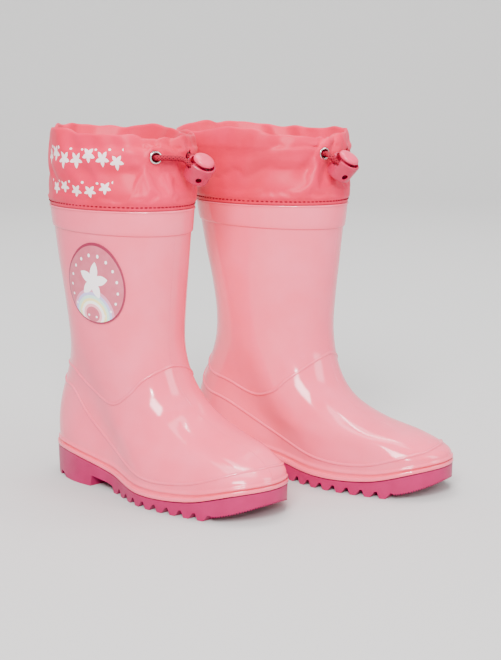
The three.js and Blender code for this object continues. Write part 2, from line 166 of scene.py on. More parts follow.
def mapped_grid(across, up, place, width=1.0, height=1.0):
    """A grid whose vertex (i, j) goes to place(i / across, j / up), with a UV map of that size."""
    bm = bmesh.new()
    bm.loops.layers.uv.new("surface")
    bmesh.ops.create_grid(bm, x_segments=across, y_segments=up, size=1, calc_uvs=True)
    layer = bm.loops.layers.uv.active
    for face in bm.faces:
        for loop in face.loops:
            u = (loop.vert.co.x + 1) / 2
            v = (loop.vert.co.y + 1) / 2
            loop[layer].uv = (u * width, v * height)
    for vertex in bm.verts:
        u = round((vertex.co.x + 1) / 2 * across) / across
        v = round((vertex.co.y + 1) / 2 * up) / up
        vertex.co = place(u, v)
    return bm


def sleeve(stations, around):
    """Rings of the boot's surface joined into a sleeve. A station is (row, grow, lift)."""
    last = len(stations) - 1

    def place(u, v):
        row, grow, lift = stations[round(v * last)]
        return skin_point(row, u * 2 * math.pi, grow, lift)

    bm = mapped_grid(around, last, place)
    bmesh.ops.remove_doubles(bm, verts=bm.verts, dist=0.001)
    return bm


def close_ends(bm):
    """Fills each open ring."""
    rims = {edge for edge in bm.edges if edge.is_boundary}
    while rims:
        ring = [rims.pop()]
        grown = True
        while grown:
            ends = {vertex for edge in ring for vertex in edge.verts}
            more = [edge for edge in rims if edge.verts[0] in ends or edge.verts[1] in ends]
            ring += more
            rims -= set(more)
            grown = bool(more)
        bmesh.ops.triangle_fill(bm, use_beauty=True, edges=ring)
    bmesh.ops.recalc_face_normals(bm, faces=bm.faces)


def sweep(points, section, sides, closed):
    """A tube along points. section(turn, length) gives its radius; lengths are in millimetres."""
    count = len(points)
    lengths = [0.0]
    for a, b in zip(points, points[1:]):
        lengths.append(lengths[-1] + (b - a).length)
    tangents = []
    for i in range(count):
        low = points[(i - 1) % count] if closed else points[max(i - 1, 0)]
        high = points[(i + 1) % count] if closed else points[min(i + 1, count - 1)]
        tangents.append((high - low).normalized())
    normals = [tangents[0].orthogonal().normalized()]
    for tangent in tangents[1:]:
        normals.append((normals[-1] - tangent * normals[-1].dot(tangent)).normalized())
    rings = count if closed else count - 1

    def place(u, v):
        i = round(v * rings) % count
        turn = u * 2 * math.pi
        beside = tangents[i].cross(normals[i])
        out = normals[i] * math.cos(turn) + beside * math.sin(turn)
        return points[i] + out * section(turn, lengths[i])

    bm = mapped_grid(sides, rings, place, 1, lengths[-1])
    bmesh.ops.remove_doubles(bm, verts=bm.verts, dist=0.0005)
    if closed:
        bmesh.ops.recalc_face_normals(bm, faces=bm.faces)
    else:
        close_ends(bm)
    return bm


def smooth_path(points, spacing):
    """Points at an even spacing on a centripetal Catmull-Rom curve through given ones."""
    path = []
    padded = [2 * points[0] - points[1], *points, 2 * points[-1] - points[-2]]
    for p0, p1, p2, p3 in zip(padded, padded[1:], padded[2:], padded[3:]):
        t1 = max((p1 - p0).length, 1e-6) ** 0.5
        t2 = t1 + max((p2 - p1).length, 1e-6) ** 0.5
        t3 = t2 + max((p3 - p2).length, 1e-6) ** 0.5
        steps = max(round((p2 - p1).length / spacing), 1)
        for i in range(steps):
            t = t1 + (t2 - t1) * i / steps
            a1 = p0 * ((t1 - t) / t1) + p1 * (t / t1)
            a2 = p1 * ((t2 - t) / (t2 - t1)) + p2 * ((t - t1) / (t2 - t1))
            a3 = p2 * ((t3 - t) / (t3 - t2)) + p3 * ((t - t2) / (t3 - t2))
            b1 = a1 * ((t2 - t) / t2) + a2 * (t / t2)
            b2 = a2 * ((t3 - t) / (t3 - t1)) + a3 * ((t - t1) / (t3 - t1))
            path.append(b1 * ((t2 - t) / (t2 - t1)) + b2 * ((t - t1) / (t2 - t1)))
    path.append(points[-1])
    return path


def turned(profile, sides, matrix):
    """A turned piece: its closed profile, as (radius, height), spun round +Z and put in place."""
    bm = bmesh.new()
    rim = [bm.verts.new((radius, 0, height)) for radius, height in profile]
    edges = [bm.edges.new(pair) for pair in zip(rim, rim[1:])]
    if profile[0][0] > 0:
        edges.append(bm.edges.new((rim[-1], rim[0])))
    bmesh.ops.spin(
        bm, geom=rim + edges, cent=(0, 0, 0), axis=(0, 0, 1), angle=2 * math.pi, steps=sides, use_merge=True
    )
    bmesh.ops.remove_doubles(bm, verts=bm.verts, dist=0.001)
    bmesh.ops.recalc_face_normals(bm, faces=bm.faces)
    bm.transform(matrix)
    return bm


def rod(low, high, radius):
    """A cylinder from one point to another."""
    bm = bmesh.new()
    length = (high - low).length
    bmesh.ops.create_cone(bm, cap_ends=True, segments=32, radius1=radius, radius2=radius, depth=length)
    turn = (high - low).to_track_quat("Z", "Y").to_matrix().to_4x4()
    bm.transform(Matrix.Translation((low + high) / 2) @ turn)
    return bm


def joined(parts):
    bm = bmesh.new()
    for part in parts:
        mesh = bpy.data.meshes.new("part")
        part.to_mesh(mesh)
        part.free()
        bm.from_mesh(mesh)
        bpy.data.meshes.remove(mesh)
    return bm


def combined(bm, cutter, operation):
    """The exact boolean of two closed shapes."""
    bodies = []
    for shape in (bm, cutter):
        mesh = bpy.data.meshes.new("blank")
        shape.to_mesh(mesh)
        shape.free()
        bodies.append(bpy.data.objects.new("blank", mesh))
        SCENE.collection.objects.link(bodies[-1])
    change = bodies[0].modifiers.new("cut", "BOOLEAN")
    change.object = bodies[1]
    change.operation = operation
    change.solver = "EXACT"
    change.use_self = True
    result = bmesh.new()
    result.from_object(bodies[0], bpy.context.evaluated_depsgraph_get())
    for body in bodies:
        mesh = body.data
        bpy.data.objects.remove(body)
        bpy.data.meshes.remove(mesh)
    return result


def soften(piece, width):
    """Rounds a moulded piece's edges."""
    bevel = piece.modifiers.new("edges", "BEVEL")
    bevel.width = width * MM
    bevel.segments = 2
    bevel.limit_method = "ANGLE"
    bevel.angle_limit = math.radians(35)
    bevel.harden_normals = False


# ---------------------------------------------------------------- camera
def add_camera():
    camera = bpy.data.objects.new("camera", bpy.data.cameras.new("camera"))
    camera.data.lens = 78.1
    camera.data.sensor_width = 36
    camera.data.clip_end = 50
    camera.location = (-0.7236, -0.6057, 0.2797)
    camera.rotation_euler = (math.radians(90 - 10.58), 0, math.radians(-50.32))
    SCENE.collection.objects.link(camera)
    SCENE.camera = camera


add_camera()


# ---------------------------------------------------------------- materials
def linear(text):
    """An sRGB hex colour as linear RGBA."""
    channels = [int(text[i : i + 2], 16) / 255 for i in (1, 3, 5)]
    return (*[c / 12.92 if c <= 0.04045 else ((c + 0.055) / 1.055) ** 2.4 for c in channels], 1.0)


def add_node(tree, kind, inputs=None, **settings):
    """Adds a shader node. inputs maps a socket's name or number to a value or another node's output."""
    node = tree.nodes.new("ShaderNode" + kind)
    for name, value in settings.items():
        setattr(node, name, value)
    for socket, value in (inputs or {}).items():
        if isinstance(value, bpy.types.NodeSocket):
            tree.links.new(value, node.inputs[socket])
        else:
            node.inputs[socket].default_value = value
    return node


def new_material(name, **shader):
    material = bpy.data.materials.new(name)
    material.use_nodes = True
    principled = material.node_tree.nodes["Principled BSDF"]
    for socket, value in shader.items():
        principled.inputs[socket.replace("_", " ")].default_value = value
    return material, material.node_tree, principled


def per_metre(millimetres):
    """A texture scale whose features are this size."""
    return 1000 / millimetres


def mottled(tree, first, second, size):
    """A cloudy mix of two colours, with clouds of this size in millimetres."""
    place = add_node(tree, "TexCoord").outputs["Object"]
    clouds = {"Vector": place, "Scale": per_metre(size), "Detail": 3.0}
    noise = add_node(tree, "TexNoise", clouds)
    ramp = add_node(tree, "ValToRGB", {"Fac": noise.outputs["Fac"]})
    ramp.color_ramp.elements[0].position = 0.35
    ramp.color_ramp.elements[0].color = linear(first)
    ramp.color_ramp.elements[1].position = 0.65
    ramp.color_ramp.elements[1].color = linear(second)
    return place, ramp.outputs["Color"]


def grain(tree, principled, place, size, depth, strength):
    """A fine bump, with grains of this size and depth in millimetres."""
    grains = {"Vector": place, "Scale": per_metre(size), "Detail": 2.0}
    noise = add_node(tree, "TexNoise", grains)
    relief = {"Height": noise.outputs["Fac"], "Distance": depth * MM, "Strength": strength}
    bump = add_node(tree, "Bump", relief)
    tree.links.new(bump.outputs["Normal"], principled.inputs["Normal"])
    return noise


def soft_pvc(name, first, second, roughness):
    # Soft PVC, injection-moulded in a polished mould: glossy, a little translucent, with faint flow marks.
    material, tree, principled = new_material(
        name, Roughness=roughness, IOR=1.53, Subsurface_Weight=0.22, Subsurface_Scale=0.006
    )
    principled.inputs["Subsurface Radius"].default_value = (1.0, 0.42, 0.36)
    place, colour = mottled(tree, first, second, 26)
    tree.links.new(colour, principled.inputs["Base Color"])
    grain(tree, principled, place, 9, 0.05, 0.5)
    return material


def sole_pvc():
    # Foamed PVC sole, moulded against a finely etched steel mould: satin, with a fine grain.
    material, tree, principled = new_material("moulded foam PVC, dark pink", Roughness=0.42, IOR=1.42)
    place, colour = mottled(tree, "#a0044c", "#aa0a54", 12)
    tree.links.new(colour, principled.inputs["Base Color"])
    noise = grain(tree, principled, place, 0.7, 0.05, 0.6)
    rough = add_node(
        tree, "MapRange", {"Value": noise.outputs["Fac"], "To Min": 0.34, "To Max": 0.52}
    )
    tree.links.new(rough.outputs["Result"], principled.inputs["Roughness"])
    return material


def star_mask(tree, x, y, radius, spin):
    """1 inside a five-pointed star with its middle at x = y = 0."""
    angle = add_node(tree, "Math", {0: y, 1: x}, operation="ARCTAN2").outputs[0]
    shifted = add_node(tree, "Math", {0: angle, 1: spin}, operation="ADD").outputs[0]
    fifths = add_node(tree, "Math", {0: shifted, 1: 5 / (2 * math.pi)}, operation="MULTIPLY").outputs[0]
    valley = add_node(tree, "Math", {0: fifths, 1: 0.5}, operation="PINGPONG").outputs[0]
    outline = {"Value": valley, "From Max": 0.5, "To Min": radius, "To Max": radius * 0.42}
    edge = add_node(tree, "MapRange", outline).outputs["Result"]
    across = add_node(tree, "Math", {0: x, 1: x}, operation="MULTIPLY").outputs[0]
    square = add_node(tree, "Math", {0: y, 1: y, 2: across}, operation="MULTIPLY_ADD").outputs[0]
    away = add_node(tree, "Math", {0: square}, operation="SQRT").outputs[0]
    return add_node(tree, "Math", {0: away, 1: edge}, operation="LESS_THAN").outputs[0]


def disc_mask(tree, x, y, radius):
    across = add_node(tree, "Math", {0: x, 1: x}, operation="MULTIPLY").outputs[0]
    square = add_node(tree, "Math", {0: y, 1: y, 2: across}, operation="MULTIPLY_ADD").outputs[0]
    return add_node(tree, "Math", {0: square, 1: radius * radius}, operation="LESS_THAN").outputs[0]


def row_of_stars(tree, u, v, start, count, pitch, height, wave, radius):
    """A printed row of stars with dots between them, along the cloth. Sizes are in millimetres."""
    place = add_node(tree, "Math", {0: u, 1: start}, operation="SUBTRACT").outputs[0]
    steps = add_node(tree, "Math", {0: place, 1: pitch}, operation="DIVIDE").outputs[0]
    cell = add_node(tree, "Math", {0: steps}, operation="FLOOR").outputs[0]
    part = add_node(tree, "Math", {0: steps, 1: cell}, operation="SUBTRACT").outputs[0]
    x = add_node(tree, "Math", {0: part, 1: pitch, 2: -pitch / 2}, operation="MULTIPLY_ADD").outputs[0]
    swing = add_node(tree, "Math", {0: cell, 1: 1.9}, operation="MULTIPLY").outputs[0]
    swing = add_node(tree, "Math", {0: swing}, operation="SINE").outputs[0]
    swing = add_node(tree, "Math", {0: swing, 1: wave, 2: height}, operation="MULTIPLY_ADD").outputs[0]
    y = add_node(tree, "Math", {0: v, 1: swing}, operation="SUBTRACT").outputs[0]
    star = star_mask(tree, x, y, radius, 0.3)
    # Between two stars: the cell's edges, a little above the row.
    edge = add_node(tree, "Math", {0: x}, operation="ABSOLUTE").outputs[0]
    edge = add_node(tree, "Math", {0: edge, 1: pitch / 2}, operation="SUBTRACT").outputs[0]
    level = add_node(tree, "Math", {0: v, 1: height + 5}, operation="SUBTRACT").outputs[0]
    dot = disc_mask(tree, edge, level, 0.9)
    both = add_node(tree, "Math", {0: star, 1: dot}, operation="MAXIMUM").outputs[0]
    after = add_node(tree, "Math", {0: cell, 1: -0.5}, operation="GREATER_THAN").outputs[0]
    before = add_node(tree, "Math", {0: cell, 1: count - 0.5}, operation="LESS_THAN").outputs[0]
    inside = add_node(tree, "Math", {0: after, 1: before}, operation="MULTIPLY").outputs[0]
    return add_node(tree, "Math", {0: both, 1: inside}, operation="MULTIPLY").outputs[0]


THREAD = 0.7  # of the weave; the real threads are about 0.25 mm apart, too fine to show


def coated_nylon():
    # Coated nylon taffeta: a plain weave with a soft satin shine, screen-printed in white.
    material, tree, principled = new_material(
        "coated nylon taffeta, coral", Roughness=0.48, IOR=1.36, Sheen_Weight=0.06, Sheen_Roughness=0.4
    )
    _, colour = mottled(tree, "#d4003c", "#de0648", 30)
    surface = add_node(tree, "UVMap", uv_map="surface").outputs["UV"]
    parts = add_node(tree, "SeparateXYZ", {0: surface})
    u, v = parts.outputs["X"], parts.outputs["Y"]
    upper = row_of_stars(tree, u, v, 54, 7, 9.4, 32.5, 2.0, 4.7)
    lower = row_of_stars(tree, u, v, 60, 5, 10.4, 13.5, 1.6, 4.5)
    print_mask = add_node(tree, "Math", {0: upper, 1: lower}, operation="MAXIMUM").outputs[0]
    colours = {0: print_mask, 6: colour, 7: linear("#f4dcde")}
    printed = add_node(tree, "Mix", colours, data_type="RGBA").outputs[2]
    tree.links.new(printed, principled.inputs["Base Color"])
    threads = {"Vector": surface, "Scale": math.pi / THREAD / 10}
    warp = add_node(tree, "TexWave", threads, bands_direction="X")
    weft = add_node(tree, "TexWave", threads, bands_direction="Y")
    weave = add_node(
        tree, "Math", {0: warp.outputs["Fac"], 1: weft.outputs["Fac"]}, operation="MULTIPLY"
    )
    bump = add_node(
        tree, "Bump", {"Height": weave.outputs[0], "Distance": 0.04 * MM, "Strength": 0.5}
    )
    tree.links.new(bump.outputs["Normal"], principled.inputs["Normal"])
    return material


def knit(name, first, second, loop, fuzz=0.4):
    # Brushed cotton knit: matt, fuzzy, with rows of small loops.
    material, tree, principled = new_material(
        name, Roughness=0.95, IOR=1.3, Sheen_Weight=fuzz, Sheen_Roughness=0.5
    )
    place, colour = mottled(tree, first, second, 4)
    tree.links.new(colour, principled.inputs["Base Color"])
    cells = add_node(tree, "TexVoronoi", {"Vector": place, "Scale": per_metre(loop)})
    relief = {"Height": cells.outputs["Distance"], "Distance": 0.2 * MM, "Strength": 0.6}
    bump = add_node(tree, "Bump", relief)
    tree.links.new(bump.outputs["Normal"], principled.inputs["Normal"])
    return material


BRAID_ENDS = 5  # bundles each way round the cord
BRAID_LAY = 10.5  # a bundle's turn along the cord, in millimetres


def braided_cord():
    # Braided polyester cord in two tones of magenta: the bundles cross in small diamonds.
    material, tree, principled = new_material(
        "braided polyester cord, magenta", Roughness=0.75, IOR=1.3
    )
    surface = add_node(tree, "UVMap", uv_map="surface").outputs["UV"]
    parts = add_node(tree, "SeparateXYZ", {0: surface})
    turn = {0: parts.outputs["X"], 1: BRAID_ENDS}
    around = add_node(tree, "Math", turn, operation="MULTIPLY").outputs[0]
    lay = {0: parts.outputs["Y"], 1: BRAID_ENDS / BRAID_LAY}
    along_cord = add_node(tree, "Math", lay, operation="MULTIPLY").outputs[0]
    bands = []
    for operation in ("ADD", "SUBTRACT"):
        helix = add_node(tree, "Math", {0: around, 1: along_cord}, operation=operation).outputs[0]
        part = add_node(tree, "Math", {0: helix, 1: 1.0, 2: 0.0}, operation="WRAP").outputs[0]
        bands.append(add_node(tree, "Math", {0: part, 1: 0.5}, operation="GREATER_THAN").outputs[0])
    dark = add_node(tree, "Math", {0: bands[0], 1: bands[1]}, operation="MULTIPLY").outputs[0]
    colours = {0: dark, 6: linear("#9c0028"), 7: linear("#3a000c")}
    mix = add_node(tree, "Mix", colours, data_type="RGBA")
    tree.links.new(mix.outputs[2], principled.inputs["Base Color"])
    return material


def nickel_plate(name):
    # Nickel-plated steel, stamped: bright, with faint drawing marks.
    material, tree, principled = new_material(name, Metallic=1.0, Roughness=0.24)
    place, colour = mottled(tree, "#c9c8c6", "#e0dfdc", 1.5)
    tree.links.new(colour, principled.inputs["Base Color"])
    grain(tree, principled, place, 0.6, 0.01, 0.4)
    return material


def moulded_acetal(name, first, second):
    # Acetal, injection-moulded with a fine spark-eroded finish: satin.
    material, tree, principled = new_material(name, Roughness=0.36, IOR=1.48, Subsurface_Weight=0.1)
    principled.inputs["Subsurface Scale"].default_value = 0.002
    principled.inputs["Subsurface Radius"].default_value = (1.0, 0.4, 0.4)
    place, colour = mottled(tree, first, second, 5)
    tree.links.new(colour, principled.inputs["Base Color"])
    grain(tree, principled, place, 0.35, 0.02, 0.5)
    return material


RAINBOW = ["#f4a3ae", "#f6f1ea", "#f0dfa0", "#bfe0d2", "#b9b2dc", "#d88aa6"]


def printed_badge():
    # A PVC transfer, printed and clear-coated: a rose disc with a star over a rainbow.
    material, tree, principled = new_material("printed PVC transfer", Roughness=0.22, IOR=1.52)
    surface = add_node(tree, "UVMap", uv_map="surface").outputs["UV"]
    parts = add_node(tree, "SeparateXYZ", {0: surface})
    x, y = parts.outputs["X"], parts.outputs["Y"]
    _, ground = mottled(tree, "#c0566a", "#c76074", 6)
    # The rainbow's arcs share a middle below the star.
    low = add_node(tree, "Math", {0: y, 1: -0.72}, operation="SUBTRACT").outputs[0]
    across = add_node(tree, "Math", {0: x, 1: x}, operation="MULTIPLY").outputs[0]
    square = add_node(tree, "Math", {0: low, 1: low, 2: across}, operation="MULTIPLY_ADD").outputs[0]
    away = add_node(tree, "Math", {0: square}, operation="SQRT").outputs[0]
    reach = {"Value": away, "From Min": 0.24, "From Max": 0.72}
    arcs = add_node(tree, "MapRange", reach).outputs["Result"]
    bands = add_node(tree, "ValToRGB", {"Fac": arcs})
    bands.color_ramp.interpolation = "CONSTANT"
    for i, shade in enumerate(RAINBOW):
        elements = bands.color_ramp.elements
        stop = elements[i] if i < 2 else elements.new(i / len(RAINBOW))
        stop.position = i / len(RAINBOW)
        stop.color = linear(shade)
    outer = disc_mask(tree, x, low, 0.72)
    inner = disc_mask(tree, x, low, 0.24)
    arch = add_node(tree, "Math", {0: outer, 1: inner}, operation="SUBTRACT").outputs[0]
    layers = [(arch, bands.outputs["Color"])]
    lifted = add_node(tree, "Math", {0: y, 1: -0.2}, operation="ADD").outputs[0]
    star = star_mask(tree, x, lifted, 0.46, -0.2)
    layers.append((star, linear("#f7ecee")))
    # Small dots in a ring near the edge.
    angle = add_node(tree, "Math", {0: y, 1: x}, operation="ARCTAN2").outputs[0]
    steps = add_node(tree, "Math", {0: angle, 1: 9 / math.pi}, operation="MULTIPLY").outputs[0]
    between = add_node(tree, "Math", {0: steps, 1: 0.5}, operation="PINGPONG").outputs[0]
    arc = add_node(tree, "Math", {0: between, 1: 0.26}, operation="MULTIPLY").outputs[0]
    plain = add_node(tree, "Math", {0: y, 1: y, 2: across}, operation="MULTIPLY_ADD").outputs[0]
    radius = add_node(tree, "Math", {0: plain}, operation="SQRT").outputs[0]
    ring = add_node(tree, "Math", {0: radius, 1: 0.78}, operation="SUBTRACT").outputs[0]
    dots = disc_mask(tree, arc, ring, 0.035)
    layers.append((dots, linear("#f7ecee")))
    rim = add_node(tree, "Math", {0: radius, 1: 0.95}, operation="GREATER_THAN").outputs[0]
    layers.append((rim, linear("#8c1f40")))
    # Each layer is printed over the ones before it.
    art = ground
    for mask, shade in layers:
        colours = {0: mask, 6: art, 7: shade}
        art = add_node(tree, "Mix", colours, data_type="RGBA").outputs[2]
    tree.links.new(art, principled.inputs["Base Color"])
    return material


LIGHT_PVC = soft_pvc("moulded soft PVC, light pink", "#f95b78", "#fb6581", 0.13)
SOLE_PVC = sole_pvc()
NYLON = coated_nylon()
KNIT = knit("brushed cotton knit, pink", "#ee4a62", "#f4566c", 1.4)
FELT = knit("needled felt, pale pink", "#f3ccd1", "#f8dde0", 0.9)
CORD_YARN = braided_cord()
NICKEL = nickel_plate("nickel-plated steel")
CUP_PLASTIC = moulded_acetal("moulded acetal, rose", "#b80a40", "#c01248")
CAP_PLASTIC = moulded_acetal("moulded acetal, light rose", "#dd2c58", "#e23862")
THREAD_YARN = knit("polyester sewing thread, dark coral", "#6e0014", "#7a001a", 0.5, 0.0)
BADGE_PRINT = printed_badge()
# Matt emulsion on the floor and wall, so that they take soft shadows and no reflections.
FLOOR_PAINT = new_material("matt emulsion, pale grey", Roughness=0.9, Base_Color=linear("#bbbab9"))[0]


# ---------------------------------------------------------------- upper
def steps(low, high, count):
    return [low + (high - low) * i / count for i in range(count + 1)]


def upper_stations():
    """The moulded upper's section, from the joint up the outside, over the top and down the inside."""
    lip = [(0, WELT - 0.9, 0), (0, WELT - 0.3, 0.1), (0, WELT, 0.6), (0, WELT, 1.8), (0, WELT - 0.4, 2.5)]
    groove = [(0.26, 0.9, 0), (0.3, 0.25, 0), (0.4, 0.2, 0), (0.44, 0.5, 0)]
    bead = [(0.48, 1.0, 0), (0.54, 1.2, 0), (0.6, 1.0, 0), (0.64, 0.45, 0), (0.68, 0.12, 0)]
    outside = [(row, 0, 0) for row in steps(0.75, 10.45, 84)]
    band = [(10.5, 0.1, 0), (10.5, 0.5, 0.2), (10.5, BAND - 0.2, 0.6), (10.5, BAND, 1.1)]
    band += [(row, BAND, 0) for row in steps(10.58, 10.96, 6)]
    top = [(TOP_ROW, BAND + 0.5, -0.9), (TOP_ROW, BAND + 0.5, -0.3)]
    top += [(TOP_ROW, BAND + 0.2, 0), (TOP_ROW, -0.2, 0)]
    lip_up = [(TOP_ROW, -0.2, SEWING_LIP), (TOP_ROW, -1.6, SEWING_LIP), (TOP_ROW, -1.6, 0)]
    inside = [(TOP_ROW, -WALL, -1)] + [(row, -WALL, 0) for row in steps(10.6, 0.35, 40)]
    return lip + groove + bead + outside + band + top + lip_up + inside


def add_upper(boot):
    bm = sleeve(upper_stations(), 192)
    close_ends(bm)
    add_piece(bm, "moulded_upper", boot, LIGHT_PVC, sharp=50, replaces=["upper"])


BEAD_POINTS = 260
# Raised beads of the mould, as rows at every 20 degrees from the heel to the toe.
ANKLE_BEAD = {
    1: [5.1, 5.2, 5.3, 5.45, 4.95, 4.65, 5.6, 6.55, 7.05, 7.27],
    -1: [5.1, 4.6, 4.15, 4.12, 3.85, 4.7, 5.85, 6.6, 7.08, 7.27],
}
FOOT_BEAD = {
    1: [4.3, 4.2, 4.08, 3.95, 1.7, 0.95, 0.95, 1.18, 1.38, 1.42],
    -1: [4.3, 3.5, 2.98, 2.7, 1.63, 1.04, 0.94, 1.14, 1.28, 1.42],
}


def bead_path(rows, sink):
    points = []
    for i in range(BEAD_POINTS):
        angle = 2 * math.pi * i / BEAD_POINTS
        outer = angle <= math.pi
        from_heel = angle if outer else 2 * math.pi - angle
        row = along(rows[1 if outer else -1], from_heel / math.pi * 9)
        points.append(skin_point(row, angle, -sink))
    return points


def add_beads(boot):
    """Two beads round the foot, and the mould's parting line up the front and the back of the shaft."""
    parts = []
    for rows in (ANKLE_BEAD, FOOT_BEAD):
        parts.append(sweep(bead_path(rows, 0.4), lambda turn, length: 1.15, 12, True))
    for angle in (0, math.pi):
        line = [skin_point(row, angle, -0.05) for row in steps(0.8, 10.45, 70)]
        parts.append(sweep(line, lambda turn, length: 0.2, 6, False))
    add_piece(joined(parts), "mould_beads", boot, LIGHT_PVC)


# ---------------------------------------------------------------- outsole
HEEL_FRONT = 60
LUG_COUNT = 9
LUG_START = 83
LUG_PITCH = 10.2
LUG_DEPTH = 4.4
SHANK_HEIGHT = 7.5
TIP_HEIGHT = 13.8
TOE_START = LUG_START + LUG_COUNT * LUG_PITCH
TOE_HEIGHT = 4.0
TOOTH_PITCH = 1.7


def toe_height(forward):
    """The underside's height under the toe."""
    t = min(max((forward - TOE_START) / (FOOT_LENGTH + 6 - TOE_START), 0), 1)
    return TOE_HEIGHT + (TIP_HEIGHT - TOE_HEIGHT) * t**1.4


def underside():
    """The sole's underside in side view, as (forward of the heel, height)."""
    line = [(-8, 3), (1, 0), (9, 0), (10.5, 3.6), (14, 3.6), (18, 0), (23, 0), (24.5, 3.2)]
    line += [(28, 3.2), (32, 0)]
    line += [(HEEL_FRONT, 0), (HEEL_FRONT + 1.5, SHANK_HEIGHT), (LUG_START - 6, SHANK_HEIGHT - 2)]
    for i in range(LUG_COUNT):
        at = LUG_START + i * LUG_PITCH
        line += [(at - 1, LUG_DEPTH), (at + 0.6, 0), (at + 4.2, 0), (at + LUG_PITCH - 2.6, LUG_DEPTH)]
    line += [(forward, toe_height(forward)) for forward in steps(TOE_START, FOOT_LENGTH + 6, 12)]
    return line


def toe_teeth():
    """Small teeth along the edge of the toe's underside."""
    parts = []
    angle = math.radians(112)
    while angle < math.radians(248):
        here = skin_point(0, angle, WELT - 1.5)
        ahead = skin_point(0, angle + 0.01, WELT - 1.5)
        angle += 0.01 * TOOTH_PITCH / (ahead - here).length
        forward = FOOT_LENGTH / 2 - here.y
        if forward < TOE_START - 2:
            continue
        low = Vector((here.x, here.y, toe_height(forward) - 1.0))
        along_edge = (ahead - here).normalized() * TOOTH_PITCH * 0.48
        inwards = Vector((here.x, here.y + 40, 0)).normalized() * -2.2
        tooth = bmesh.new()
        corners = [low - inwards * 0.35 + Vector((0, 0, 1.6)) + along_edge * side for side in (-1, 1)]
        corners += [low - inwards * 0.35, low + inwards + Vector((0, 0, 0.6))]
        corners += [low + inwards + Vector((0, 0, 2)) + along_edge * side for side in (1, -1)]
        verts = [tooth.verts.new(corner) for corner in corners]
        for face in ((0, 1, 2), (3, 4, 5), (1, 4, 3, 2), (0, 2, 3, 5), (0, 5, 4, 1)):
            tooth.faces.new([verts[i] for i in face])
        bmesh.ops.recalc_face_normals(tooth, faces=tooth.faces)
        parts.append(tooth)
    return joined(parts)


def add_outsole(boot):
    def place(u, v):
        if v < 0.5:
            point = skin_point(0, u * 2 * math.pi, WELT - 1)
            return Vector((point.x, point.y, -2))
        return skin_point(0, u * 2 * math.pi, WELT - 0.5, -1.4 * GAP)

    blank = mapped_grid(240, 1, place)
    bmesh.ops.remove_doubles(blank, verts=blank.verts, dist=0.001)
    close_ends(blank)
    slab = bmesh.new()
    outline = [(-10, 40), *underside(), (FOOT_LENGTH + 10, 40)]
    face = slab.faces.new([slab.verts.new((-55, FOOT_LENGTH / 2 - y, z)) for y, z in outline])
    grown = bmesh.ops.extrude_face_region(slab, geom=[face])["geom"]
    moved = [item for item in grown if isinstance(item, bmesh.types.BMVert)]
    bmesh.ops.translate(slab, vec=(110, 0, 0), verts=moved)
    bmesh.ops.recalc_face_normals(slab, faces=slab.faces)
    sole = combined(blank, slab, "INTERSECT")
    piece = add_piece(
        sole, "lugged_outsole", boot, SOLE_PVC, sharp=30, replaces=["outsole"]
    )
    soften(piece, 0.35)
    add_piece(toe_teeth(), "toe_teeth", boot, SOLE_PVC, sharp=30)


# ---------------------------------------------------------------- inside
def add_lining(boot):
    outer = WALL + 2.5 * GAP
    rows = steps(0.5, 10.9, 44)
    stations = [(row, -outer, 0) for row in rows] + [(10.9, -outer - LINING, 0)]
    stations += [(row, -outer - LINING, 0) for row in reversed(rows)]
    bm = sleeve(stations[:-1] + [(0.63, -outer - LINING, 0)], 128)
    close_ends(bm)
    piece = add_piece(bm, "knit_lining", boot, KNIT, replaces=["lining"])


def add_insole(boot):
    inset = WALL + LINING + 4 * GAP
    stations = [(0.86, -inset - 1, 0.5), (0.86, -inset - 1.4, 1.0)]
    stations += [(0.86, -inset - 5, 2.2), (0.86, -inset - 7, 2.4)]
    bm = sleeve(stations, 128)
    close_ends(bm)
    piece = add_piece(bm, "felt_insole", boot, FELT, sharp=50, replaces=["insole"])


# ---------------------------------------------------------------- collar
# The collar's section, from the seam up the outside, over the fold and down inside the shaft:
# outwards of the shaft's top ring, and above it.
COLLAR_HEIGHT = COLLAR_TOP - SHAFT_TOP
COLLAR_SECTION = [
    (0.95, 0.4), (2.0, 10), (3.3, 23), (3.5, 35), (2.8, 41), (2.2, 45), (1.4, COLLAR_HEIGHT + 3.4),
    (0.4, 45), (-1.6, 40), (-3.8, 34), (-3.4, 23), (-2.9, 9.5), (-2.9, 2),
]
SECTION_GROW = [grow for grow, _ in COLLAR_SECTION]
SECTION_LIFT = [lift for _, lift in COLLAR_SECTION]
SECTION_LENGTH = [0.0]
for low_point, high_point in zip(COLLAR_SECTION, COLLAR_SECTION[1:]):
    SECTION_LENGTH.append(SECTION_LENGTH[-1] + math.dist(low_point, high_point))
COLLAR_FLAT = (0.322, 0.093)  # cut length round the shaft and cut height before it is folded
COLLAR_AROUND = 256
COLLAR_UP = 76
SETTLING_STEPS = 14
PUNCH = 3.5  # radius of the hole in the cloth for an eyelet
FOLDS = {
    "left": [(3, 0.9, 0.4), (5, 0.8, 2.1), (8, 0.6, 0.3), (13, 0.5, 4.0), (19, 0.35, 1.2)],
    "right": [(3, 0.9, 2.9), (5, 0.8, 0.6), (7, 0.6, 3.3), (12, 0.5, 1.1), (20, 0.35, 5.2)],
}


# Where the open edge leans outwards: angle from the heel, distance and sharpness.
FLARES = {
    "left": [(322, 13, 5), (146, 7, 8), (235, 2, 4)],
    "right": [(45, -3.0, 3), (215, 4, 6), (330, 3, 4)],
}


def collar_point(angle, grow, lift):
    pull = max(-math.cos(angle), 0) ** 2 * smoothstep(lift, 9, 26)
    return skin_point(TOP_ROW, angle, grow - FRONT_PULL * pull, lift)


